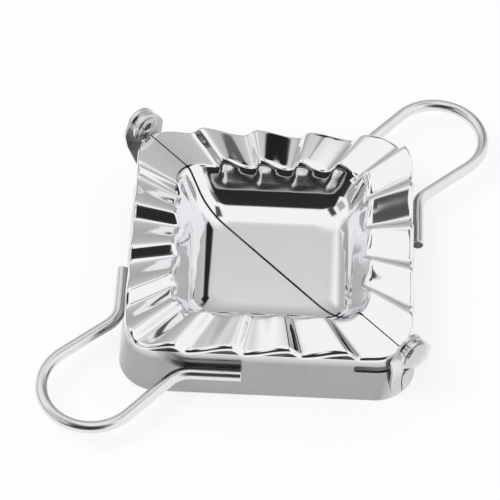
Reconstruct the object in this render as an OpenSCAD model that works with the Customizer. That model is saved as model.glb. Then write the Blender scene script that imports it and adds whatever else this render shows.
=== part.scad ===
// Square dumpling wrapper cutter and mould, lying open and flat.
// Two equal halves, each a fluted mould plate in a sheet skirt with a wire
// handle, fold together along the diagonal that runs along X.

/* [Rim] */
// Half the width of the fluted rim, up to the crease where its edge rolls down
rim_half = 40.3; // [38:0.1:44]
// Height of the rim's middle plane above the table
rim_z = 19; // [18:0.1:24]
// Thickness of the pressed mould sheet
mould_t = 0.6; // [0.5:0.05:0.7]
// Outside radius of the rolled edge
roll_r = 1.2; // [1.1:0.1:1.6]
// Straight lip below the rolled edge
lip_h = 0.2; // [0.1:0.05:0.4]

/* [Flutes] */
// Fluted panels along each side of the square
flutes = 5; // [4:1:6]
// Height of a ridge above the rim's middle plane
flute_h = 1.4; // [0.8:0.1:1.5]
// Share of each panel's width that the steep riser takes
riser_share = 0.26; // [0.22:0.01:0.36]
// How much the broad panels are rounded towards ridge and trough
panel_ease = 0.5; // [0:0.05:0.8]

/* [Cavity] */
// Half the width of the cavity at its rounded mouth
cavity_half = 29.5; // [26:0.1:31]
// Depth of the cavity below the rim's middle plane
cavity_depth = 12.5; // [9:0.1:13]
// Slope of the cavity wall from the level
wall_angle = 62; // [58:1:72]
// Fillet radius between floor and wall
floor_fillet = 10; // [6:0.1:12]
// Fillet radius between wall and rim
mouth_fillet = 2.2; // [1.6:0.1:3]
// Corner radius of the cavity's mouth, seen from above
mouth_corner_r = 8.5; // [7:0.1:11]
// Corner radius of the cavity's floor, seen from above
floor_corner_r = 4.5; // [3:0.1:6]

/* [Skirt] */
// Half the outside width of the skirt at its cutting edge
skirt_half = 43; // [42.4:0.1:47]
// Sheet thickness of the skirt and its hinge ears
skirt_t = 0.8; // [0.6:0.05:1]
// Outside corner radius of the skirt at its cutting edge
corner_r = 11.8; // [10:0.1:14]
// Drop from the rim's middle plane to the skirt's top edge
skirt_drop = 2.9; // [2.6:0.1:3.4]
// Height of the lower edge of the slot beside the inner hinge ear
slot_z = 11.2; // [9:0.1:12]
// Height of the slot's opening
slot_h = 2.4; // [1.5:0.1:2.8]
// Distance from the side's middle to the near end of the slot
slot_start = 25; // [20:0.1:26]
// Length of the slot along the side
slot_l = 11; // [6:0.1:11.4]
// Corner radius of the slot
slot_r = 0.8; // [0.3:0.1:1]

/* [Hinge] */
// Gap left for the dough between the two rims' middle planes when shut
fold_gap = 4.4; // [4:0.1:6]
// Radius of the round hinge ears
ear_r = 4.9; // [4.8:0.1:5.6]
// Width from the hinge line to the shoulder on an ear's own side
ear_side = 6.4; // [5.8:0.1:7]
// Drop from the hinge line to that shoulder
ear_shoulder = 2; // [1:0.1:3]
// Rounding radius of the shoulder
shoulder_r = 3; // [2:0.1:3.4]
// Height where an ear's sheet bends up into its upright face
ear_bend_z = 14; // [13:0.1:14.6]
// Height where an ear's sheet leaves the skirt
ear_leave_z = 7; // [6:0.1:9]
// Height of the lower end of an ear's root on the skirt
ear_low_z = 3; // [2:0.1:4.5]
// Width of an ear's root at its lower end
ear_root_w = 4; // [3:0.1:5]
// Thickness of the spacer washer between two ears
washer_t = 1.7; // [1.2:0.1:3]
// Radius of the spacer washer
washer_r = 4; // [3.2:0.1:4.6]
// Radius of the rivet's shank
rivet_r = 2; // [1.5:0.1:2.2]
// Radius of the rivet's domed head
head_r = 4.4; // [3.4:0.1:4.6]
// Height of the rivet's domed head
head_h = 1.6; // [1:0.1:2]
// Radius of the rivet's flared inner end
flare_r = 3.5; // [3:0.1:4]
// Thickness of the rivet's flared inner end
flare_t = 0.4; // [0.3:0.05:0.5]
// Radius of the hole up the rivet's flared end
rivet_hole_r = 1.2; // [0.8:0.1:1.3]
// Depth of that hole
rivet_hole_l = 2.4; // [1.5:0.1:3]

/* [Handle] */
// Diameter of the handle wire
wire_d = 3.6; // [3:0.1:4]
// Height of the wire's centre above the table
wire_z = 10; // [8:0.1:11]
// Centre line radius of the handle's loop
loop_r = 14.4; // [13.5:0.1:16]
// Distance from the hinge line to the loop's centre
loop_reach = 69.7; // [69:0.1:76]
// Angle by which the handle's legs draw in towards the neck
neck_angle = 3.7; // [3:0.1:6]
// Centre line radius of the bend from leg to skirt
bend_r = 8.2; // [7:0.1:9]
// Distance from the side's middle to the wire's cut end
wire_end = 7; // [4:0.1:10]

/* [Clearances] */
// Width of the seam between the two halves
seam_gap = 0.4; // [0.3:0.05:0.8]
// Gap between the rolled lip and the skirt's top edge
lip_clear = 0.2; // [0.15:0.05:0.3]
// Gap between the rolled rim's corner and the rivet's flared end
flare_clear = 0.8; // [0.4:0.05:1.2]
// Gap around and beside what turns or is clinched at the hinge
run_clear = 0.05; // [0.02:0.01:0.1]
// Gap between the wire and the wall that it is welded to
weld_gap = 0.03; // [0.01:0.01:0.05]

/* [Hidden] */
$fn = 96;

// Colours of the polished sheet, the satin skirt and the wire
mirror_steel = [0.86, 0.87, 0.88];
satin_steel = [0.68, 0.69, 0.7];
wire_steel = [0.78, 0.79, 0.8];

// Rim and skirt share one corner centre, so that they stay parallel
corner_c = skirt_half - corner_r;
rim_out = rim_half + roll_r;
skirt_top = rim_z - skirt_drop;
skirt_top_half = rim_out - mould_t - lip_clear;
skirt_lean = skirt_half - skirt_top_half;
wall_lap = 0.2;
wall_shy = 0.01;
lean_angle = atan(skirt_lean / skirt_top);
function wall_at(z) = skirt_half - skirt_lean * z / skirt_top;

// Distance from the middle to a corner's outside, along the hinge line
function corner_reach(half_w) = corner_c * sqrt(2) + half_w - corner_c;

// Height of the hinge pin, and the ears' places along it
axis_z = rim_z + fold_gap / 2;
inner_ear = corner_reach(rim_out) + flare_clear + flare_t + run_clear;
washer_at = inner_ear + skirt_t + run_clear;
outer_ear = washer_at + washer_t + run_clear;
head_at = outer_ear + skirt_t + run_clear;
root_at = corner_reach(wall_at(ear_leave_z)) - skirt_t / 2;

// Cavity profile, worked out from the mouth down to the floor
floor_z = rim_z - cavity_depth;
wall_foot_h = floor_fillet * (1 - cos(wall_angle));
wall_head_h = mouth_fillet * (1 - cos(wall_angle));
wall_run = (cavity_depth - wall_foot_h - wall_head_h) / tan(wall_angle);
wall_foot = cavity_half - mouth_fillet * sin(wall_angle) - wall_run;
floor_half = wall_foot - floor_fillet * sin(wall_angle);
arc_steps = 3;

// Corner radius of the cavity at a given half width
function cavity_corner(half_w) =
    floor_corner_r
    + (mouth_corner_r - floor_corner_r) * (half_w - floor_half) / (cavity_half - floor_half);

// Corner radius of the rim at a given half width, fading from the cavity's
function rim_corner(half_w) =
    let (f = min(1, (half_w - cavity_half) / (rim_half - cavity_half)))
    f < 1
        ? mouth_corner_r * (1 - f) + (rim_half - corner_c) * f
        : half_w - corner_c;

// One ring of the mould: half width, corner radius, height, share of the flutes
floor_ring = [floor_half, floor_corner_r, floor_z, 0];
foot_rings = [
    for (i = [1 : arc_steps])
        let (a = wall_angle * i / arc_steps, w = floor_half + floor_fillet * sin(a))
        [w, cavity_corner(w), floor_z + floor_fillet * (1 - cos(a)), 0]];
mouth_rings = [
    for (i = [0 : arc_steps])
        let (a = wall_angle * (1 - i / arc_steps), w = cavity_half - mouth_fillet * sin(a))
        [w, cavity_corner(w), rim_z - mouth_fillet * (1 - cos(a)), 0.45 + 0.55 * i / arc_steps]];
rim_rings = [
    for (f = [0.5, 1])
        let (w = cavity_half + (rim_half - cavity_half) * f)
        [w, rim_corner(w), rim_z, 1]];
roll_rings = [
    for (i = [1 : arc_steps])
        let (a = 90 * i / arc_steps, w = rim_half + roll_r * sin(a))
        [w, rim_corner(w), rim_z - roll_r * (1 - cos(a)), 1]];
lip_ring = [rim_out, rim_corner(rim_out), rim_z - roll_r - lip_h, 1];
rings = concat([floor_ring], foot_rings, mouth_rings, rim_rings, roll_rings, [lip_ring]);

// How far a ray of slope q runs before it meets a rounded square
function ray_reach(q, half_w, r) =
    let (c = half_w - r, m = abs(q), s = m + 1, k = m * m + 1)
    m * half_w <= c
        ? half_w
        : (c * s + sqrt(c * c * s * s - k * (2 * c * c - r * r))) / k;

// Samples across one panel, closer together on the risers at its two ends
rise = riser_share / 2;
panel_steps = 3;
panel_samples = concat(
    [0], [for (i = [0 : panel_steps]) rise + (1 - 2 * rise) * i / panel_steps]);
panels = 2 * flutes;
columns = concat([for (k = [0 : panels - 1]) for (s = panel_samples) k + s], [panels]);
last = len(columns) - 1;

// Rounded saw-tooth, from 1 on a ridge to -1 in a trough, 0 at both seams
function eased(x) = x - panel_ease * sin(360 * x) / (2 * PI);
function half_eased(x) = (1 + panel_ease / 2) * x - panel_ease / 2 * x * x;
function flute(g) =
    let (k = min(floor(g), panels - 1), s = g - k)
    k == 0 && s <= 1 - rise ? -half_eased(s / (1 - rise)) :
    k == panels - 1 && s >= rise ? half_eased((1 - s) / (1 - rise)) :
    s < rise ? sin(90 * s / rise) :
    s > 1 - rise ? -sin(90 * (1 - s) / rise) :
    1 - 2 * eased((s - rise) / (1 - 2 * rise));

// A point of the mould's upper face, on column g and ring number j
function face_point(g, j) =
    let (
        along_far = g <= flutes,
        q = along_far ? 2 * g / flutes - 1 : 2 * (g - flutes) / flutes - 1,
        reach = ray_reach(q, rings[j][0], rings[j][1]),
        z = rings[j][2] + rings[j][3] * flute_h * flute(g))
    along_far ? [q * reach, reach, z] : [reach, -q * reach, z];

// Upward normal of the face, kept in the seam's plane at both ends
function face_normal(upper, i, j) =
    let (
        du = upper[min(i + 1, last)][j] - upper[max(i - 1, 0)][j],
        dv = upper[i][min(j + 1, len(rings) - 1)] - upper[i][max(j - 1, 0)],
        n = cross(du, dv),
        across = (n[0] + n[1]) / 2,
        m = i == 0 || i == last ? n - [across, across, 0] : n)
    j == 0 ? [0, 0, 1] : m / norm(m);

// The pressed sheet as one closed shell, in the square's own directions
module mould_sheet() {
    n = len(rings);
    upper = [for (g = columns) [for (j = [0 : n - 1]) face_point(g, j)]];
    lower = [
        for (i = [0 : last])
            [for (j = [0 : n - 1]) upper[i][j] - mould_t * face_normal(upper, i, j)]];
    middle = [[0, 0, floor_z], [0, 0, floor_z - mould_t]];
    points = concat(
        middle, [for (c = upper) for (p = c) p], [for (c = lower) for (p = c) p]);
    function up(i, j) = 2 + i * n + j;
    function low(i, j) = 2 + (last + 1 + i) * n + j;
    strips = [
        for (i = [0 : last - 1])
            for (j = [0 : n - 2])
                for (f = [
                    [up(i, j), up(i, j + 1), up(i + 1, j + 1)],
                    [up(i, j), up(i + 1, j + 1), up(i + 1, j)],
                    [low(i, j), low(i + 1, j + 1), low(i, j + 1)],
                    [low(i, j), low(i + 1, j), low(i + 1, j + 1)]]) f];
    lip_edge = [
        for (i = [0 : last - 1])
            for (f = [
                [up(i, n - 1), low(i, n - 1), low(i + 1, n - 1)],
                [up(i, n - 1), low(i + 1, n - 1), up(i + 1, n - 1)]]) f];
    floor_faces = [
        concat([0], [for (i = [0 : last]) up(i, 0)]),
        concat([1], [for (i = [last : -1 : 0]) low(i, 0)])];
    seam_edges = [
        for (j = [0 : n - 2])
            for (f = [
                [low(0, j), low(0, j + 1), up(0, j + 1)],
                [low(0, j), up(0, j + 1), up(0, j)],
                [up(last, j), up(last, j + 1), low(last, j + 1)],
                [up(last, j), low(last, j + 1), low(last, j)]]) f];
    seam_middle = [
        [1, low(0, 0), up(0, 0)], [1, up(0, 0), 0],
        [0, up(last, 0), low(last, 0)], [0, low(last, 0), 1]];
    faces = concat(strips, lip_edge, floor_faces, seam_edges, seam_middle);
    polyhedron(points, faces, convexity = 12);
}

// Turns the square's directions into the hinge's, and leaves half the seam
module beside_seam() {
    translate([0, seam_gap / 2, 0])
        rotate([0, 0, 45])
            children();
}

// Section of the skirt's leaning sheet, measured from the corner's centre
module skirt_section(shy = 0) {
    r_low = corner_r - shy;
    r_top = corner_r - skirt_lean - shy;
    t = skirt_t - 2 * shy;
    polygon([[r_low, 0], [r_top, skirt_top], [r_top - t, skirt_top], [r_low - t, 0]]);
}

// Straight wall, a hair thinner than the corners so that it runs into them
module skirt_wall() {
    translate([corner_c, corner_c + wall_lap, 0])
        rotate([90, 0, 0])
            linear_extrude(2 * (corner_c + wall_lap))
                skirt_section(wall_shy);
}

module skirt_corner(x, y, from, angle) {
    translate([x, y, 0])
        rotate([0, 0, from])
            rotate_extrude(angle = angle)
                skirt_section();
}

// Rounded slot through the far wall, under the strip that holds the rim
module slot_space() {
    translate([-slot_start - slot_l, corner_c, slot_z])
        rotate([90, 0, 0])
            linear_extrude(2 * corner_r, center = true)
                union() {
                    translate([slot_r, 0])
                        square([slot_l - 2 * slot_r, slot_h]);
                    translate([0, slot_r])
                        square([slot_l, slot_h - 2 * slot_r]);
                    for (x = [slot_r, slot_l - slot_r])
                        for (y = [slot_r, slot_h - slot_r])
                            translate([x, y])
                                circle(slot_r);
                }
}

// Sheet section of an ear: root on the skirt, slope out, upright face
module ear_section(face_at) {
    top = axis_z + ear_r + 1;
    polygon([
        [root_at, ear_low_z], [root_at, ear_leave_z], [face_at, ear_bend_z], [face_at, top],
        [face_at + skirt_t, top], [face_at + skirt_t, ear_bend_z],
        [root_at + skirt_t, ear_leave_z], [root_at + skirt_t, ear_low_z]]);
}

// Outline of an ear seen along the hinge: a disc, a round shoulder on its own
// side, and below it a root that narrows down
module ear_outline() {
    side = seam_gap / 2;
    shoulder = [ear_side - shoulder_r, axis_z - ear_shoulder];
    apart = norm([shoulder[0], ear_shoulder]);
    lean = acos((ear_r - shoulder_r) / apart) - atan2(ear_shoulder, shoulder[0]);
    edge = [cos(lean), sin(lean)];
    translate([0, axis_z])
        circle(ear_r);
    translate(shoulder)
        circle(shoulder_r);
    polygon([
        [side, ear_low_z], [side, axis_z], [0, axis_z] + ear_r * edge,
        shoulder + shoulder_r * edge, [ear_side, shoulder[1]], [ear_root_w, ear_low_z]]);
}

module ear(face_at) {
    reach = head_at + head_h;
    difference() {
        intersection() {
            rotate([90, 0, 0])
                linear_extrude(4 * ear_r, center = true)
                    ear_section(face_at);
            rotate([90, 0, 90])
                linear_extrude(reach)
                    ear_outline();
        }
        translate([face_at - 1, 0, axis_z])
            rotate([0, 90, 0])
                cylinder(h = skirt_t + 2, r = rivet_r + run_clear);
    }
}

// Skirt of the half that lies towards +Y, with its two hinge ears
module skirt() {
    beside_seam()
        difference() {
            union() {
                skirt_wall();
                rotate([0, 0, 90])
                    skirt_wall();
                skirt_corner(corner_c, corner_c, 0, 90);
                skirt_corner(corner_c, -corner_c, -45, 45);
                skirt_corner(-corner_c, corner_c, 90, 45);
            }
            slot_space();
        }
    ear(outer_ear);
    mirror([1, 0, 0])
        ear(inner_ear);
}

// Handle wire: loop, two legs that draw in, two bends, two welded ends
wire_r = wire_d / 2;
wire_sides = 40;
rod_lap = 0.2;
rod_shy = 0.01;
bend_turn = 45 + neck_angle;
wire_off = wall_at(wire_z) + (wire_r + weld_gap) / cos(lean_angle);
leg_top = [loop_r * cos(neck_angle), loop_reach - loop_r * sin(neck_angle)];
leg_dir = [-sin(neck_angle), -cos(neck_angle)];
leg_meet = (leg_top[0] + leg_top[1] - wire_off * sqrt(2)) / (sin(neck_angle) + cos(neck_angle));
leg_l = leg_meet - bend_r * tan(bend_turn / 2);
leg_foot = leg_top + leg_l * leg_dir;
bend_centre = leg_foot + bend_r * [cos(neck_angle), -sin(neck_angle)];
end_top = bend_centre - bend_r * [1, 1] / sqrt(2);
end_l = (end_top[1] - end_top[0]) / sqrt(2) - wire_end;

// Straight piece, a hair thinner than the bends so that it runs into them
module rod(from, heading, length) {
    translate([from[0], from[1], 0])
        rotate([0, 0, heading])
            translate([-rod_lap, 0, 0])
                rotate([0, 90, 0])
                    cylinder(h = rod_lap + length, r = wire_r - rod_shy, $fn = wire_sides);
}

module rod_arc(centre, radius, from, angle) {
    translate([centre[0], centre[1], 0])
        rotate([0, 0, from])
            rotate_extrude(angle = angle, $fn = 2 * wire_sides)
                translate([radius, 0])
                    circle(wire_r, $fn = wire_sides);
}

module handle_side() {
    rod(leg_top, -90 - neck_angle, leg_l + rod_lap);
    rod_arc(bend_centre, bend_r, 180 - neck_angle, bend_turn);
    rod(end_top, -45, end_l);
}

module handle() {
    translate([0, seam_gap / 2, wire_z]) {
        rod_arc([0, loop_reach], loop_r, -neck_angle, 180 + 2 * neck_angle);
        handle_side();
        mirror([1, 0, 0])
            handle_side();
    }
}

// Rivet at the inner ear's end: flared tube inside, domed head outside
module hinge_rivet() {
    start = inner_ear - run_clear - flare_t;
    flare_from = start + flare_t;
    edge = head_h / 4;
    dome_h = head_h - edge;
    dome = [
        for (a = [0 : 15 : 90])
            [head_r * cos(a), head_at + edge + dome_h * sin(a)]];
    translate([0, 0, axis_z])
        rotate([0, -90, 0])
            rotate_extrude()
                polygon(concat(
                    [[0, start + rivet_hole_l], [rivet_hole_r, start + rivet_hole_l]],
                    [[rivet_hole_r, start + flare_t / 2], [rivet_hole_r + flare_t / 2, start]],
                    [[flare_r - flare_t / 2, start], [flare_r, start + flare_t / 2]],
                    [[flare_r, flare_from], [rivet_r, flare_from]],
                    [[rivet_r, head_at], [head_r, head_at]],
                    dome));
}

module spacer_washer() {
    translate([-washer_at, 0, axis_z])
        rotate([0, -90, 0])
            difference() {
                cylinder(h = washer_t, r = washer_r);
                translate([0, 0, -1])
                    cylinder(h = washer_t + 2, r = rivet_r + run_clear);
            }
}

module mould_plate() {
    beside_seam()
        mould_sheet();
}

// The second half is the first one turned half a turn about Z
module turned() {
    rotate([0, 0, 180])
        children();
}

color(mirror_steel) mould_plate();  // mould_plate_a
color(mirror_steel) turned() mould_plate();  // mould_plate_b
color(satin_steel) skirt();  // skirt_a
color(satin_steel) turned() skirt();  // skirt_b
color(wire_steel) handle();  // handle_a
color(wire_steel) turned() handle();  // handle_b
color(wire_steel) hinge_rivet();  // hinge_rivet_a
color(wire_steel) turned() hinge_rivet();  // hinge_rivet_b
color(wire_steel) spacer_washer();  // spacer_washer_a
color(wire_steel) turned() spacer_washer();  // spacer_washer_b
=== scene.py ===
"""Folding dumpling cutter lying open on a white table, in polished sheet and wire."""

import logging
import math
from dataclasses import dataclass, field
from enum import Enum
from typing import Any, Sequence

import bpy
from mathutils import Matrix, Vector


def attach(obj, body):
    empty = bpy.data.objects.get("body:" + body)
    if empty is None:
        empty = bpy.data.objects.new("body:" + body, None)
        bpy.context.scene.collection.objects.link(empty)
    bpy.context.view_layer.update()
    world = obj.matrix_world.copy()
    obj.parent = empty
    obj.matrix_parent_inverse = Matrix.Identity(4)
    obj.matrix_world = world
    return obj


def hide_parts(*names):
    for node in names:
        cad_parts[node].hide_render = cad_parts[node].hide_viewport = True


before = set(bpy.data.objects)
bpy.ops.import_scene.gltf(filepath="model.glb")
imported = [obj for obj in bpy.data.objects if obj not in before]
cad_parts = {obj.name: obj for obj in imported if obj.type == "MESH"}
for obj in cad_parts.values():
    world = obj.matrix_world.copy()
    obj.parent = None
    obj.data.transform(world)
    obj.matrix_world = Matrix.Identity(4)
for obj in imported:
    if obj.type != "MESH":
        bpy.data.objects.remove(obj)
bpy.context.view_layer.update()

logging.basicConfig(level=logging.INFO, format="%(message)s")
log = logging.getLogger("dumpling_cutter")

MM = 0.001
Point = tuple[float, float, float]
Colour = tuple[float, float, float]
Ring = tuple[float, float, float, float]

BUFFING_TURN = math.radians(-45)
LINES_SHARE, HAZE_SHARE = 0.35, 0.65
HAZE_SCALE, SMEAR_SCALE = 90.0, 260.0
HAZE_WEIGHT, SMEAR_WEIGHT = 0.6, 0.4
# Near-black painted shade beside the diagonal seam, standing in for the shade in the gap
# between the plates.
SEAM_SHADE = (0.04, 0.04, 0.042, 1.0)


class Half(Enum):
    """The two halves of the cutter, with the turn about Z that places each."""

    A = 0.0
    B = 180.0

    @property
    def tag(self) -> str:
        """Letter that ends this half's piece names."""
        return self.name.lower()

    @property
    def body(self) -> str:
        """Moving body that this half's pieces ride on."""
        return f"half_{self.tag}"


class HingeEnd(Enum):
    """The two ends of the hinge line, with the turn about Z that places each."""

    A = 0.0
    B = 180.0

    @property
    def tag(self) -> str:
        """Letter that ends this rivet's piece names."""
        return self.name.lower()


class Term:
    """A value socket that takes part in Python expressions."""

    def __init__(self, shader: "ShaderGraph", socket: Any) -> None:
        """Wraps a socket.

        Args:
            shader: Graph that owns the socket.
            socket: Output socket that carries a number.
        """
        self.shader = shader
        self.socket = socket

    def _math(self, operation: str, first: Any, second: Any = None) -> "Term":
        """Adds one Math node.

        Args:
            operation: Name of the Math node's operation.
            first: First operand.
            second: Second operand, if the operation takes one.

        Returns:
            The node's result.
        """
        values = {0: first} if second is None else {0: first, 1: second}
        return self.shader.node("ShaderNodeMath", {"operation": operation}, values)

    def __add__(self, other: Any) -> "Term":
        """Sum."""
        return self._math("ADD", self, other)

    def __radd__(self, other: Any) -> "Term":
        """Sum with a number in front."""
        return self._math("ADD", other, self)

    def __sub__(self, other: Any) -> "Term":
        """Difference."""
        return self._math("SUBTRACT", self, other)

    def __rsub__(self, other: Any) -> "Term":
        """Difference from a number in front."""
        return self._math("SUBTRACT", other, self)

    def __mul__(self, other: Any) -> "Term":
        """Product."""
        return self._math("MULTIPLY", self, other)

    def __rmul__(self, other: Any) -> "Term":
        """Product with a number in front."""
        return self._math("MULTIPLY", other, self)

    def __truediv__(self, other: Any) -> "Term":
        """Quotient."""
        return self._math("DIVIDE", self, other)

    def __rtruediv__(self, other: Any) -> "Term":
        """Quotient of a number in front."""
        return self._math("DIVIDE", other, self)

    def __pow__(self, other: Any) -> "Term":
        """Power."""
        return self._math("POWER", self, other)

    def most(self, other: Any) -> "Term":
        """Larger of the two."""
        return self._math("MAXIMUM", self, other)

    def least(self, other: Any) -> "Term":
        """Smaller of the two."""
        return self._math("MINIMUM", self, other)

    def under(self, other: Any) -> "Term":
        """1 where this is the smaller, else 0."""
        return self._math("LESS_THAN", self, other)

    def size(self) -> "Term":
        """Value without its sign."""
        return self._math("ABSOLUTE", self)


class ShaderGraph:
    """Nodes of one material or of the world."""

    def __init__(self, tree: Any) -> None:
        """Empties a node tree and takes it over.

        Args:
            tree: Node tree of a material or of the world.
        """
        self.tree = tree
        tree.nodes.clear()

    def node(self, kind: str, settings: dict[str, Any] | None = None,
             values: dict[Any, Any] | None = None, out: Any = 0) -> Term:
        """Adds a node of any type.

        Args:
            kind: Node type.
            settings: Properties of the node.
            values: Numbers, colours or links for its input sockets.
            out: Name or number of the output that is handed back.

        Returns:
            That output, wrapped.
        """
        made = self.tree.nodes.new(kind)
        for name, value in (settings or {}).items():
            setattr(made, name, value)
        for name, value in (values or {}).items():
            target = made.inputs[name]
            if isinstance(value, Term):
                self.tree.links.new(value.socket, target)
            else:
                target.default_value = value
        return Term(self, made.outputs[out])

    def axis(self, place: Term, name: str) -> Term:
        """Takes one coordinate of a place.

        Args:
            place: Place that is split.
            name: Letter of the coordinate.

        Returns:
            The coordinate.
        """
        return self.node("ShaderNodeSeparateXYZ", None, {0: place}, out=name)

    def blend(self, share: Any, first: Any, second: Any) -> Term:
        """Mixes two colours.

        Args:
            share: 0 for the first colour and 1 for the second.
            first: Colour or link.
            second: Colour or link.

        Returns:
            The mixed colour.
        """
        values = {0: share, 6: first, 7: second}
        return self.node("ShaderNodeMix", {"data_type": "RGBA"}, values, out=2)

    def end(self, kind: str, shader: Term) -> None:
        """Links a shader to the tree's output node.

        Args:
            kind: Type of the output node.
            shader: Shader that it shows.
        """
        made = self.tree.nodes.new(kind)
        self.tree.links.new(shader.socket, made.inputs[0])


def new_material(name: str) -> tuple[bpy.types.Material, ShaderGraph]:
    """Makes an empty node material.

    Args:
        name: Its name.

    Returns:
        The material and its node graph.
    """
    material = bpy.data.materials.new(name)
    material.use_nodes = True
    return material, ShaderGraph(material.node_tree)


@dataclass(frozen=True)
class SteelFinish:
    """Polished stainless steel with faint buffing lines and a slow waviness.

    Painted shade darkens the sheet beside the diagonal seam, inside seam_half, standing in
    for the shade in the gap.
    A lighter colour takes over above bright_from and beyond bright_out: a painted highlight.
    """

    name: str
    colour: Colour
    dark_colour: Colour
    roughness: float
    roughness_spread: float
    line_scale: float
    line_stretch: float
    line_depth: float
    wave_scale: float
    wave_depth: float
    seam_shade_reach: float = 0.0
    seam_half: float = 0.0
    painted_highlight_colour: Colour | None = None
    bright_from: float = 0.0
    bright_out: float = 0.0
    bright_over: float = 0.001
    bright_roughness: float = 0.0

    def build(self) -> bpy.types.Material:
        """Makes the material.

        Returns:
            The material.
        """
        material, graph = new_material(self.name)
        place = graph.node("ShaderNodeTexCoord", out="Object")
        turned = graph.node(
            "ShaderNodeMapping", {"vector_type": "POINT"},
            {"Vector": place, "Rotation": (0.0, 0.0, BUFFING_TURN),
             "Scale": (1.0, self.line_stretch, 1.0)})
        lines = graph.node(
            "ShaderNodeTexNoise", None,
            {"Vector": turned, "Scale": self.line_scale, "Detail": 3.0,
             "Roughness": 0.6})
        haze = graph.node(
            "ShaderNodeTexNoise", None,
            {"Vector": place, "Scale": HAZE_SCALE, "Detail": 4.0, "Roughness": 0.65})
        smears = graph.node(
            "ShaderNodeTexNoise", None,
            {"Vector": place, "Scale": SMEAR_SCALE, "Detail": 2.0, "Distortion": 0.6})
        waves = graph.node(
            "ShaderNodeTexNoise", None,
            {"Vector": place, "Scale": self.wave_scale, "Detail": 1.0})
        colour = graph.blend(LINES_SHARE * lines + HAZE_SHARE * haze,
                             (*self.dark_colour, 1.0), (*self.colour, 1.0))
        uneven = HAZE_WEIGHT * (haze - 0.5) + SMEAR_WEIGHT * (smears - 0.5)
        rough = self.roughness + self.roughness_spread * uneven
        # Painted highlight: above bright_from and beyond bright_out the colour is painted
        # lighter, and made rougher, standing in for bright reflections there.
        if self.painted_highlight_colour:
            past = (graph.axis(place, "Z") - self.bright_from).most(
                graph.axis(place, "X").size() - self.bright_out)
            rise = (past / self.bright_over).most(0.0).least(1.0)
            colour = graph.blend(rise, colour, (*self.painted_highlight_colour, 1.0))
            rough = rough + self.bright_roughness * rise
        # Painted shade: a near-black band beside the diagonal seam stands in for the shade
        # in the gap between the two plates.
        if self.seam_shade_reach:
            off, along = graph.axis(place, "Y").size(), graph.axis(place, "X").size()
            seam_shaded = off.under(self.seam_shade_reach) * along.under(self.seam_half)
            colour = graph.blend(seam_shaded, colour, SEAM_SHADE)
        fine = graph.node(
            "ShaderNodeBump", None,
            {"Height": lines, "Strength": 1.0, "Distance": self.line_depth})
        bumped = graph.node(
            "ShaderNodeBump", None,
            {"Height": waves, "Strength": 1.0, "Distance": self.wave_depth,
             "Normal": fine})
        shader = graph.node(
            "ShaderNodeBsdfPrincipled", None,
            {"Base Color": colour, "Metallic": 1.0, "Roughness": rough,
             "Normal": bumped})
        graph.end("ShaderNodeOutputMaterial", shader)
        return material


# The polished plates carry painted shade beside the diagonal seam.
MIRROR_SHEET = SteelFinish(
    "mirror_polished_sheet", (0.93, 0.935, 0.945), (0.84, 0.845, 0.86),
    roughness=0.07, roughness_spread=0.05, line_scale=900.0, line_stretch=0.12,
    line_depth=2e-7, wave_scale=45.0, wave_depth=6e-5, seam_shade_reach=0.00034,
    seam_half=0.038)
SATIN_SHEET = SteelFinish(
    "satin_skirt_sheet", (0.48, 0.485, 0.495), (0.31, 0.315, 0.325),
    roughness=0.17, roughness_spread=0.14, line_scale=1500.0, line_stretch=0.08,
    line_depth=1.2e-6, wave_scale=40.0, wave_depth=1.2e-4,
    # Painted highlight on the skirt's top band and its ears.
    painted_highlight_colour=(0.80, 0.805, 0.815), bright_from=0.013, bright_out=0.0535,
    bright_over=0.003, bright_roughness=0.12)
BRIGHT_WIRE = SteelFinish(
    "bright_drawn_wire", (0.86, 0.865, 0.875), (0.74, 0.745, 0.76),
    roughness=0.24, roughness_spread=0.10, line_scale=1200.0, line_stretch=0.3,
    line_depth=6e-7, wave_scale=120.0, wave_depth=2e-5)
RIVET_STEEL = SteelFinish(
    "tumbled_rivet_steel", (0.74, 0.745, 0.755), (0.52, 0.525, 0.54),
    roughness=0.17, roughness_spread=0.12, line_scale=1400.0, line_stretch=0.6,
    line_depth=1e-6, wave_scale=260.0, wave_depth=3e-5)
# Near-black sheet edges: partly the duller sheared edge, partly painted shade that keeps the
# seam's gap dark.
CUT_EDGE_AND_SHADE = SteelFinish(
    "sheared_edge_and_painted_shade", (0.20, 0.20, 0.205), (0.10, 0.10, 0.105),
    roughness=0.45, roughness_spread=0.2, line_scale=2500.0, line_stretch=1.0,
    line_depth=4e-6, wave_scale=400.0, wave_depth=2e-5)


@dataclass(frozen=True)
class CardFinish:
    """Plain glow of a studio card, graded from foot to head, with soft edges."""

    foot: float
    head: float
    soft: float
    curve: float = 1.0

    def build(self, name: str) -> bpy.types.Material:
        """Makes the material.

        Args:
            name: Its name.

        Returns:
            The material.
        """
        material, graph = new_material(name)
        place = graph.node("ShaderNodeTexCoord", out="UV")
        across, along = graph.axis(place, "X"), graph.axis(place, "Y")
        edge = (0.5 - (across - 0.5).size()).least(0.5 - (along - 0.5).size())
        solid = (edge / self.soft).least(1.0)
        grey = graph.blend(along ** self.curve, (self.foot, self.foot, self.foot, 1.0),
                           (self.head, self.head, self.head, 1.0))
        glow = graph.node("ShaderNodeEmission", None, {"Color": grey, "Strength": 1.0})
        clear = graph.node("ShaderNodeBsdfTransparent")
        shader = graph.node(
            "ShaderNodeMixShader", None,
            {0: solid * solid * (3 - 2 * solid), 1: clear, 2: glow})
        graph.end("ShaderNodeOutputMaterial", shader)
        return material


def deselect() -> None:
    """Leaves edit mode and deselects everything."""
    if bpy.context.object and bpy.context.object.mode != "OBJECT":
        bpy.ops.object.mode_set(mode="OBJECT")
    bpy.ops.object.select_all(action="DESELECT")


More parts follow.
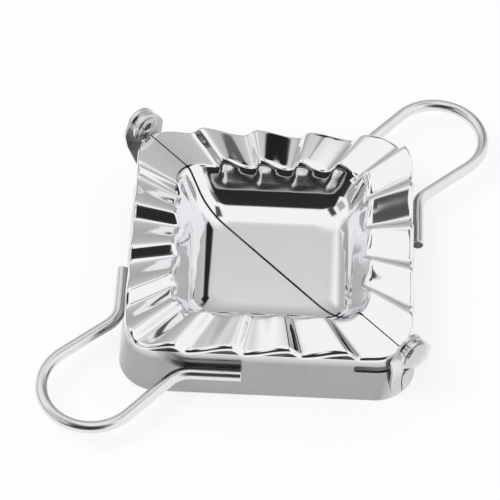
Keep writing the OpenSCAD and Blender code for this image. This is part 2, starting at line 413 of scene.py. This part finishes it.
def activate(piece: bpy.types.Object) -> None:
    """Makes a piece the only selected and active one."""
    deselect()
    piece.select_set(True)
    bpy.context.view_layer.objects.active = piece


def apply_modifiers(piece: bpy.types.Object) -> None:
    """Applies each of a piece's modifiers, in order."""
    activate(piece)
    for modifier in list(piece.modifiers):
        bpy.ops.object.modifier_apply(modifier=modifier.name)


def settle(piece: bpy.types.Object) -> None:
    """Moves a piece's place, turn and size into its mesh."""
    activate(piece)
    bpy.ops.object.transform_apply(location=True, rotation=True, scale=True)


def tidy_mesh(piece: bpy.types.Object, merge: float, smooth_angle: float) -> None:
    """Merges doubles, turns faces outwards and shades the piece.

    Args:
        piece: Mesh object.
        merge: Distance under which corners merge, in metres.
        smooth_angle: Angle in degrees up to which edges look smooth.
    """
    activate(piece)
    bpy.ops.object.mode_set(mode="EDIT")
    bpy.ops.mesh.select_all(action="SELECT")
    bpy.ops.mesh.remove_doubles(threshold=merge)
    bpy.ops.mesh.normals_make_consistent(inside=False)
    bpy.ops.object.mode_set(mode="OBJECT")
    bpy.ops.object.shade_smooth_by_angle(angle=math.radians(smooth_angle))


def dress(piece: bpy.types.Object, *materials: bpy.types.Material) -> None:
    """Gives a piece its materials, in the order of its slots."""
    piece.data.materials.clear()
    for material in materials:
        piece.data.materials.append(material)


def square_to_row(point: Sequence[float]) -> Vector:
    """Turns a place along the square's sides into the hinge's directions."""
    x, y, z = point
    return Vector(((x - y) / math.sqrt(2), (x + y) / math.sqrt(2), z))


@dataclass
class FlutedPlate:
    """Pressed mould plate: shallow square cup, fluted rim and rolled edge, in mm."""

    half: Half
    rim_half: float = 40.3
    rim_z: float = 19.0
    sheet: float = 0.6
    roll_r: float = 1.2
    lip_h: float = 0.2
    flutes: int = 5
    flute_h: float = 1.4
    riser_share: float = 0.26
    panel_ease: float = 0.5
    cavity_half: float = 29.5
    cavity_depth: float = 12.5
    wall_angle: float = 62.0
    floor_fillet: float = 10.0
    mouth_fillet: float = 2.2
    mouth_corner_r: float = 8.5
    floor_corner_r: float = 4.5
    corner_c: float = 31.2
    seam_gap: float = 0.4
    panel_columns: int = 16
    riser_columns: int = 6
    riser_cuts: tuple[float, float] = (0.35, 0.7)
    floor_rings: tuple[float, ...] = (0.0, 0.35, 0.7, 0.93, 1.0)
    rim_rings: tuple[float, ...] = (0.12, 0.3, 0.5, 0.75, 0.94, 1.0)
    arc_steps: int = 8
    wall_steps: int = 3
    wall_flute: float = 0.25
    crease_angle: float = 40.0
    rings: list[Ring] = field(default_factory=list)

    def plan_rings(self) -> None:
        """Works out half width, corner radius, height and flute share of each ring."""
        angle = math.radians(self.wall_angle)
        floor_z = self.rim_z - self.cavity_depth
        foot_h = self.floor_fillet * (1 - math.cos(angle))
        head_h = self.mouth_fillet * (1 - math.cos(angle))
        run = (self.cavity_depth - foot_h - head_h) / math.tan(angle)
        wall_head = self.cavity_half - self.mouth_fillet * math.sin(angle)
        wall_foot = wall_head - run
        floor_half = wall_foot - self.floor_fillet * math.sin(angle)

        def cavity_corner(half_w: float) -> float:
            """Corner radius of the cavity at a half width."""
            share = (half_w - floor_half) / (self.cavity_half - floor_half)
            growth = self.mouth_corner_r - self.floor_corner_r
            return self.floor_corner_r + growth * share

        def rim_corner(half_w: float) -> float:
            """Corner radius of the rim at a half width."""
            width = self.rim_half - self.cavity_half
            share = min(1.0, (half_w - self.cavity_half) / width)
            if share < 1.0:
                edge = self.rim_half - self.corner_c
                return self.mouth_corner_r * (1 - share) + edge * share
            return half_w - self.corner_c

        rings = [(floor_half * s, self.floor_corner_r * s, floor_z, 0.0)
                 for s in self.floor_rings]
        for step in range(1, self.arc_steps + 1):
            a = angle * step / self.arc_steps
            w = floor_half + self.floor_fillet * math.sin(a)
            z = floor_z + self.floor_fillet * (1 - math.cos(a))
            rings.append((w, cavity_corner(w), z, 0.0))
        for step in range(1, self.wall_steps):
            s = step / self.wall_steps
            w = wall_foot + run * s
            z = floor_z + foot_h + (self.cavity_depth - foot_h - head_h) * s
            rings.append((w, cavity_corner(w), z, self.wall_flute * s * s))
        for step in range(0, self.arc_steps + 1):
            a = angle * (1 - step / self.arc_steps)
            w = self.cavity_half - self.mouth_fillet * math.sin(a)
            z = self.rim_z - self.mouth_fillet * (1 - math.cos(a))
            grown = math.sin(math.pi / 2 * step / self.arc_steps)
            share = self.wall_flute + (1 - self.wall_flute) * grown
            rings.append((w, cavity_corner(w), z, share))
        for s in self.rim_rings:
            w = self.cavity_half + (self.rim_half - self.cavity_half) * s
            rings.append((w, rim_corner(w), self.rim_z, 1.0))
        for step in range(1, self.arc_steps + 1):
            a = math.pi / 2 * step / self.arc_steps
            w = self.rim_half + self.roll_r * math.sin(a)
            z = self.rim_z - self.roll_r * (1 - math.cos(a))
            rings.append((w, rim_corner(w), z, 1.0))
        out = self.rim_half + self.roll_r
        rings.append((out, rim_corner(out), self.rim_z - self.roll_r - self.lip_h, 1.0))
        self.rings = rings

    def columns(self) -> list[float]:
        """Places round the half, counted in panels, closer together on the risers.

        Returns:
            Values from 0 at one end of the seam to twice the flutes at the other.
        """
        rise = self.riser_share / 2
        low, high = self.riser_cuts
        steps = [0.0, low * rise, high * rise, rise]
        inner = self.panel_columns - self.riser_columns
        steps += [rise + (1 - 2 * rise) * i / inner for i in range(1, inner + 1)]
        steps += [1 - high * rise, 1 - low * rise]
        panels = [k + s for k in range(2 * self.flutes) for s in steps]
        return panels + [2.0 * self.flutes]

    def flute(self, g: float) -> float:
        """Rounded saw-tooth from 1 on a ridge to -1 in a trough, 0 at the seams.

        Args:
            g: Place round the half, in panels.

        Returns:
            Share of the flute height.
        """
        rise = self.riser_share / 2
        k = min(int(g), 2 * self.flutes - 1)
        s = g - k
        ease = self.panel_ease

        def half_eased(x: float) -> float:
            """Slope of the panels beside the seam."""
            return (1 + ease / 2) * x - ease / 2 * x * x

        if k == 0 and s <= 1 - rise:
            return -half_eased(s / (1 - rise))
        if k == 2 * self.flutes - 1 and s >= rise:
            return half_eased((1 - s) / (1 - rise))
        if s < rise:
            return math.sin(math.pi / 2 * s / rise)
        if s > 1 - rise:
            return -math.sin(math.pi / 2 * (1 - s) / rise)
        x = (s - rise) / (1 - 2 * rise)
        return 1 - 2 * (x - ease * math.sin(2 * math.pi * x) / (2 * math.pi))

    def place(self, g: float, ring: Ring) -> Vector:
        """Place of one corner of the sheet's upper face.

        Args:
            g: Place round the half, in panels.
            ring: Half width, corner radius, height and flute share.

        Returns:
            The corner in metres, in the row frame, before the half is turned.
        """
        half_w, r, z, share = ring
        far = g <= self.flutes
        q = 2 * g / self.flutes - 1 if far else 2 * (g - self.flutes) / self.flutes - 1
        c, m = half_w - r, abs(q)
        reach = half_w
        if m * half_w > c:
            s, k = m + 1, m * m + 1
            root = c * c * s * s - k * (2 * c * c - r * r)
            reach = (c * s + math.sqrt(max(0.0, root))) / k
        height = z + share * self.flute_h * self.flute(g)
        flat = (q * reach, reach, height) if far else (reach, -q * reach, height)
        return (square_to_row(flat) + Vector((0, self.seam_gap / 2, 0))) * MM

    def build(self, material: bpy.types.Material,
              edge_material: bpy.types.Material) -> bpy.types.Object:
        """Models the plate from a grid and dresses it.

        Args:
            material: Finish of the sheet.
            edge_material: Finish of its cut edge, near-black partly as painted shade.

        Returns:
            The finished piece.
        """
        self.plan_rings()
        columns = self.columns()
        deselect()
        bpy.ops.mesh.primitive_grid_add(
            x_subdivisions=len(columns) - 1, y_subdivisions=len(self.rings) - 1, size=2)
        piece = bpy.context.object
        piece.name = piece.data.name = f"mould_plate_sheet_{self.half.tag}"
        for corner in piece.data.vertices:
            i = round((corner.co.x + 1) / 2 * (len(columns) - 1))
            j = round((corner.co.y + 1) / 2 * (len(self.rings) - 1))
            corner.co = self.place(columns[i], self.rings[j])
        tidy_mesh(piece, merge=1e-6, smooth_angle=180.0)
        self.face_up(piece)
        dress(piece, material, edge_material)
        wall = piece.modifiers.new("sheet", "SOLIDIFY")
        wall.thickness = self.sheet * MM
        wall.offset = -1.0
        wall.use_even_offset = True
        wall.material_offset_rim = 1
        apply_modifiers(piece)
        activate(piece)
        bpy.ops.object.shade_smooth_by_angle(angle=math.radians(self.crease_angle))
        piece.rotation_euler.z = math.radians(self.half.value)
        settle(piece)
        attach(piece, self.half.body)
        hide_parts(f"mould_plate_{self.half.tag}")
        log.info("%s: %d faces", piece.name, len(piece.data.polygons))
        return piece

    def face_up(self, piece: bpy.types.Object) -> None:
        """Flips the open sheet where its faces look down."""
        if sum(p.normal.z * p.area for p in piece.data.polygons) < 0:
            activate(piece)
            bpy.ops.object.mode_set(mode="EDIT")
            bpy.ops.mesh.select_all(action="SELECT")
            bpy.ops.mesh.flip_normals()
            bpy.ops.object.mode_set(mode="OBJECT")


@dataclass
class WireHandle:
    """Bent wire handle: two welded ends, two bends, two legs and a loop, in mm."""

    half: Half
    wire_d: float = 3.6
    wire_z: float = 10.0
    loop_r: float = 14.4
    loop_reach: float = 69.7
    neck_angle: float = 3.7
    side_turn: float = 45.0
    bend_r: float = 8.2
    wire_end: float = 7.0
    wall_at_wire: float = 41.571
    wall_lean: float = 8.13
    weld_gap: float = 0.03
    seam_gap: float = 0.4
    sides: int = 40
    bend_steps: int = 16
    loop_steps: int = 56
    end_bevel: float = 0.25
    bevel_segments: int = 3
    bevel_from: float = 60.0
    crease_angle: float = 50.0

    def build(self, material: bpy.types.Material,
              edge_material: bpy.types.Material) -> bpy.types.Object:
        """Models the wire from a circle by extruding and spinning it.

        Args:
            material: Finish of the wire.
            edge_material: Finish of its two cut ends, near-black partly as painted shade.

        Returns:
            The finished piece.
        """
        wire_r = self.wire_d / 2
        neck = math.radians(self.neck_angle)
        turn = math.radians(self.side_turn) + neck
        stand_off = (wire_r + self.weld_gap) / math.cos(math.radians(self.wall_lean))
        off = self.wall_at_wire + stand_off
        top = Vector((self.loop_r * math.cos(neck),
                      self.loop_reach - self.loop_r * math.sin(neck)))
        leg_dir = Vector((-math.sin(neck), -math.cos(neck)))
        meet = (top.x + top.y - off * math.sqrt(2)) / (math.sin(neck) + math.cos(neck))
        leg = meet - self.bend_r * math.tan(turn / 2)
        foot = top + leg * leg_dir
        centre = foot + self.bend_r * Vector((math.cos(neck), -math.sin(neck)))
        end_top = centre - self.bend_r * Vector((1, 1)) / math.sqrt(2)
        end_l = (end_top.y - end_top.x) / math.sqrt(2) - self.wire_end
        out = Vector((1, -1)) / math.sqrt(2)
        start = end_top + out * end_l

        def at(flat: Vector) -> Vector:
            """Place in metres of a point in the wire's level plane."""
            return Vector((flat.x, flat.y + self.seam_gap / 2, self.wire_z)) * MM

        deselect()
        wire_way = Vector((-out.x, -out.y, 0))
        turn_to_wire = Vector((0, 0, 1)).rotation_difference(wire_way)
        bpy.ops.mesh.primitive_circle_add(
            vertices=self.sides, radius=wire_r * MM, fill_type="NGON",
            location=at(start), rotation=turn_to_wire.to_euler())
        piece = bpy.context.object
        piece.name = piece.data.name = f"handle_wire_{self.half.tag}"
        settle(piece)
        bpy.ops.object.mode_set(mode="EDIT")
        bpy.ops.mesh.select_all(action="SELECT")

        def push(way: Vector, length: float) -> None:
            """Extrudes the open end by a length in mm."""
            step = Vector((way.x, way.y, 0)) * length * MM
            bpy.ops.mesh.extrude_region_move(TRANSFORM_OT_translate={"value": step})

        def sweep(middle: Vector, angle: float, steps: int) -> None:
            """Spins the open end round a middle, by an angle in radians."""
            bpy.ops.mesh.spin(
                steps=steps, angle=angle, center=at(middle), axis=(0, 0, -1), dupli=False)

        mirrored = Vector((-centre.x, centre.y))
        push(-out, end_l)
        sweep(centre, -turn, self.bend_steps)
        push(-leg_dir, leg)
        sweep(Vector((0, self.loop_reach)), math.pi + 2 * neck, self.loop_steps)
        push(Vector((-leg_dir.x, leg_dir.y)), leg)
        sweep(mirrored, -turn, self.bend_steps)
        push(Vector((-out.x, out.y)), end_l)
        bpy.ops.object.mode_set(mode="OBJECT")
        tidy_mesh(piece, merge=2e-6, smooth_angle=self.crease_angle)
        self.round_ends(piece)
        piece.rotation_euler.z = math.radians(self.half.value)
        settle(piece)
        dress(piece, material, edge_material)
        for face in piece.data.polygons:
            face.material_index = int(len(face.vertices) == self.sides)
        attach(piece, self.half.body)
        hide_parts(f"handle_{self.half.tag}")
        log.info("%s: %d faces", piece.name, len(piece.data.polygons))
        return piece

    def round_ends(self, piece: bpy.types.Object) -> None:
        """Breaks the sharp edges of the two cut ends."""
        bevel = piece.modifiers.new("cut_ends", "BEVEL")
        bevel.width = self.end_bevel * MM
        bevel.segments = self.bevel_segments
        bevel.limit_method = "ANGLE"
        bevel.angle_limit = math.radians(self.bevel_from)
        apply_modifiers(piece)
        bpy.ops.object.shade_smooth_by_angle(angle=math.radians(self.crease_angle))


@dataclass
class HingeRivet:
    """Rivet of the hinge: flared tube end inside, domed head outside, in mm."""

    end: HingeEnd
    start: float = 55.2235
    axis_z: float = 21.2
    flare_r: float = 3.5
    flare_t: float = 0.4
    hole_r: float = 1.2
    hole_l: float = 2.4
    shank_r: float = 2.0
    head_at: float = 59.1235
    head_r: float = 4.4
    head_h: float = 1.6
    throat_l: float = 0.9
    throat_r: float = 0.7
    rim_r: float = 0.2
    sides: int = 64
    throat_steps: int = 4
    flare_steps: int = 6
    rim_steps: int = 2
    dome_steps: int = 12

    def profile(self) -> list[tuple[float, float]]:
        """Radius and place along the hinge of each ring, from the hole's floor round.

        Returns:
            The rings in the order in which they are extruded.
        """
        quarter, lip, rim = math.pi / 2, self.flare_t / 2, self.rim_r
        edge = self.head_h / 4
        rings = [(self.hole_r, self.start + self.hole_l),
                 (self.hole_r, self.start + self.throat_l)]
        for step in range(0, self.throat_steps + 1):
            a = quarter * step / self.throat_steps
            rings.append((self.hole_r + self.throat_r * (1 - math.cos(a)),
                          self.start + self.throat_r * (1 - math.sin(a))))
        for step in range(0, self.flare_steps + 1):
            a = math.pi * step / self.flare_steps
            rings.append((self.flare_r - lip + lip * math.sin(a),
                          self.start + lip - lip * math.cos(a)))
        rings.append((self.shank_r, self.start + self.flare_t))
        rings.append((self.shank_r, self.head_at))
        rings.append((self.head_r - rim, self.head_at))
        for step in range(0, self.rim_steps + 1):
            a = quarter * step / self.rim_steps
            rings.append((self.head_r - rim + rim * math.sin(a),
                          self.head_at + rim - rim * math.cos(a)))
        for step in range(0, self.dome_steps):
            a = quarter * step / self.dome_steps
            rings.append((self.head_r * math.cos(a),
                          self.head_at + edge + (self.head_h - edge) * math.sin(a)))
        return rings

    def build(self, material: bpy.types.Material) -> bpy.types.Object:
        """Models the rivet ring by ring from a circle and dresses it.

        Args:
            material: Finish of the rivet.

        Returns:
            The finished piece.
        """
        rings = self.profile()
        deselect()
        bpy.ops.mesh.primitive_circle_add(
            vertices=self.sides, radius=rings[0][0] * MM, fill_type="NGON",
            location=(0, 0, rings[0][1] * MM))
        piece = bpy.context.object
        piece.name = piece.data.name = f"rivet_{self.end.tag}"
        settle(piece)
        bpy.ops.object.mode_set(mode="EDIT")
        bpy.ops.mesh.select_all(action="SELECT")
        for (r0, z0), (r1, z1) in zip(rings, rings[1:]):
            bpy.ops.mesh.extrude_region_move(
                TRANSFORM_OT_translate={"value": (0, 0, (z1 - z0) * MM)})
            bpy.ops.transform.resize(value=(r1 / r0, r1 / r0, 1.0))
        bpy.ops.mesh.merge(type="CENTER")
        bpy.ops.object.mode_set(mode="OBJECT")
        tidy_mesh(piece, merge=1e-7, smooth_angle=35.0)
        piece.rotation_euler = (0, -math.pi / 2, 0)
        piece.location.z = self.axis_z * MM
        settle(piece)
        piece.rotation_euler.z = math.radians(self.end.value)
        settle(piece)
        dress(piece, material)
        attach(piece, Half.B.body)
        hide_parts(f"hinge_rivet_{self.end.tag}")
        log.info("%s: %d faces", piece.name, len(piece.data.polygons))
        return piece


@dataclass
class Skirt:
    """Cutting skirt of one half, carried over from the frame with a satin finish."""

    half: Half

    def build(self, material: bpy.types.Material,
              washer_material: bpy.types.Material) -> None:
        """Dresses the skirt and its spacer washer.

        Args:
            material: Finish of the skirt's sheet.
            washer_material: Finish of the spacer washer.
        """
        dress(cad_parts[f"skirt_{self.half.tag}"], material)
        dress(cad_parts[f"spacer_washer_{self.half.tag}"], washer_material)
        log.info("skirt_%s: dressed", self.half.tag)


@dataclass(frozen=True)
class Card:
    """Card that the steel mirrors, placed round the square, 0 degrees at the back."""

    name: str
    azimuth: float
    elevation: float
    distance: float
    width: float
    height: float
    finish: CardFinish
    roll: float = 0.0

    def build(self) -> bpy.types.Object:
        """Makes the card, facing the middle of the table.

        Returns:
            The card.
        """
        round_by, up_by = math.radians(self.azimuth), math.radians(self.elevation)
        way = square_to_row((math.sin(round_by) * math.cos(up_by),
                             math.cos(round_by) * math.cos(up_by), math.sin(up_by)))
        deselect()
        bpy.ops.mesh.primitive_plane_add(size=1.0)
        card = bpy.context.object
        card.name = card.data.name = self.name
        turn = way.to_track_quat("Z", "Y").to_matrix()
        turn = turn @ Matrix.Rotation(math.radians(self.roll), 3, "Z")
        card.matrix_world = (
            Matrix.Translation(way * self.distance) @ turn.to_4x4()
            @ Matrix.Diagonal((self.width, self.height, 1.0, 1.0)))
        dress(card, self.finish.build(f"{self.name}_card"))
        card.visible_camera = False
        card.visible_diffuse = False
        card.visible_shadow = False
        return card


CARDS: tuple[Card, ...] = (
    Card("back_sheet", 0.0, 26.0, 1.1, 3.6, 1.6, CardFinish(0.41, 0.84, 0.18, 2.4)),
    Card("left_low_sheet", -96.0, 7.0, 1.15, 1.9, 0.62, CardFinish(0.34, 0.46, 0.18)),
    Card("left_window", -46.0, 44.0, 1.0, 0.68, 0.72, CardFinish(1.0, 1.0, 0.42)),
    Card("front_flag", -172.0, 33.0, 1.0, 1.06, 1.5, CardFinish(0.02, 0.03, 0.10)),
    Card("right_front_flag", 152.0, 40.0, 1.05, 0.34, 1.1, CardFinish(0.20, 0.16, 0.35)),
    Card("low_front_flag", -165.0, 10.0, 1.1, 1.9, 0.75, CardFinish(0.05, 0.03, 0.15)),
    Card("low_right_flag", 75.0, -3.0, 1.2, 1.5, 0.20, CardFinish(0.06, 0.10, 0.25)),
    Card("low_back_flag", 0.0, -4.0, 1.0, 1.7, 0.16, CardFinish(0.08, 0.12, 0.25)),
    Card("left_top_flag", -112.0, 68.0, 1.0, 0.75, 0.28, CardFinish(0.05, 0.08, 0.25)),
    Card("left_sheet", -112.0, 42.0, 1.2, 0.8, 0.6, CardFinish(0.40, 0.52, 0.25)),
    Card("spot_flag", 32.0, 38.0, 0.9, 0.29, 0.31, CardFinish(0.01, 0.02, 0.16)),
    Card("low_spot_flag", 26.0, 24.0, 0.92, 0.15, 0.26, CardFinish(0.13, 0.12, 0.25)),
    Card("top_flag", 66.0, 73.0, 0.95, 0.60, 0.18, CardFinish(0.07, 0.10, 0.18), roll=-12.0),
    Card("thin_front_sheet", 180.0, 12.6, 0.97, 1.3, 0.085, CardFinish(0.42, 0.46, 0.4)),
)


@dataclass
class Studio:
    """Camera, floor, light and cards."""

    eye: Point = (0.31873, -0.32211, 0.57875)
    right: Point = (0.67913, 0.73363, 0.02378)
    up: Point = (-0.58301, 0.51944, 0.62473)
    ahead: Point = (-0.44597, 0.43814, -0.78048)
    lens: float = 176.34
    sensor: float = 36.0
    near_clip: float = 0.01
    floor_size: float = 6.0
    floor_drop: float = 0.0002
    floor_glow: float = 0.8
    cover_reach: float = 0.03
    covered_under: float = 0.2
    fill_light: float = 0.75
    lamp_place: Point = (-0.5, -0.3, 1.1)
    lamp_size: float = 0.7
    lamp_power: float = 6.0

    def build(self) -> None:
        """Sets the whole studio up."""
        self.camera()
        self.floor()
        self.world()
        self.lamps()
        for card in CARDS:
            card.build()
            log.info("%s: card", card.name)
        bpy.context.scene.view_settings.view_transform = "Standard"

    def camera(self) -> None:
        """Places the camera at the photograph's angle."""
        deselect()
        bpy.ops.object.camera_add()
        camera = bpy.context.object
        axes = Matrix((self.right, self.up, -Vector(self.ahead))).transposed()
        camera.matrix_world = Matrix.Translation(self.eye) @ axes.to_4x4()
        camera.data.sensor_width = self.sensor
        camera.data.lens = self.lens
        camera.data.clip_start = self.near_clip
        bpy.context.scene.camera = camera

    def shown_ray(self, graph: ShaderGraph) -> Term:
        """Mask of camera, mirror and clear rays.

        Args:
            graph: Graph that gets the Light Path nodes.

        Returns:
            1 for those rays and 0 for the rest.
        """
        rays = [graph.node("ShaderNodeLightPath", out=name)
                for name in ("Is Camera Ray", "Is Glossy Ray", "Is Transmission Ray")]
        return rays[0].most(rays[1]).most(rays[2])

    def floor(self) -> None:
        """Lays a pale floor that keeps a faint shadow of the cutter.

        Its glow stops where the cutter closes it in, so the seam stays dark.
        """
        deselect()
        bpy.ops.mesh.primitive_plane_add(
            size=self.floor_size, location=(0, 0, -self.floor_drop))
        floor = bpy.context.object
        floor.name = floor.data.name = "table_top"
        settle(floor)
        material, graph = new_material("white_table")
        matt = graph.node(
            "ShaderNodeBsdfPrincipled", None,
            {"Base Color": (0.9, 0.9, 0.9, 1.0), "Roughness": 0.9})
        glow = graph.node(
            "ShaderNodeEmission", None, {"Color": (1, 1, 1, 1), "Strength": 1.0})
        openness = graph.node("ShaderNodeAmbientOcclusion", {"samples": 16},
                              {"Distance": self.cover_reach}, out="AO")
        open_floor = 1 - openness.under(self.covered_under)
        lit = self.floor_glow * self.shown_ray(graph) * open_floor
        shader = graph.node("ShaderNodeMixShader", None, {0: lit, 1: matt, 2: glow})
        graph.end("ShaderNodeOutputMaterial", shader)
        dress(floor, material)

    def world(self) -> None:
        """Makes a white surround, a little softer where it only lights."""
        world = bpy.data.worlds.new("white_surround")
        bpy.context.scene.world = world
        world.use_nodes = True
        graph = ShaderGraph(world.node_tree)
        strength = self.fill_light + (1 - self.fill_light) * self.shown_ray(graph)
        shader = graph.node(
            "ShaderNodeBackground", None, {"Color": (1, 1, 1, 1), "Strength": strength})
        graph.end("ShaderNodeOutputWorld", shader)

    def lamps(self) -> None:
        """Hangs one broad soft lamp over the left shoulder."""
        deselect()
        bpy.ops.object.light_add(type="AREA", location=square_to_row(self.lamp_place))
        lamp = bpy.context.object
        lamp.data.shape = "DISK"
        lamp.data.size = self.lamp_size
        lamp.data.energy = self.lamp_power
        lamp.visible_glossy = False
        aim = Vector((0, 0, 0)) - lamp.location
        lamp.rotation_euler = aim.to_track_quat("-Z", "Y").to_euler()


def main() -> None:
    """Builds the cutter and its studio."""
    mirror, satin = MIRROR_SHEET.build(), SATIN_SHEET.build()
    wire, rivet = BRIGHT_WIRE.build(), RIVET_STEEL.build()
    cut_edge_and_shade = CUT_EDGE_AND_SHADE.build()
    for half in Half:
        FlutedPlate(half).build(mirror, cut_edge_and_shade)
        WireHandle(half).build(wire, cut_edge_and_shade)
        Skirt(half).build(satin, rivet)
    for end in HingeEnd:
        HingeRivet(end).build(rivet)
    Studio().build()


if __name__ == "__main__":
    main()
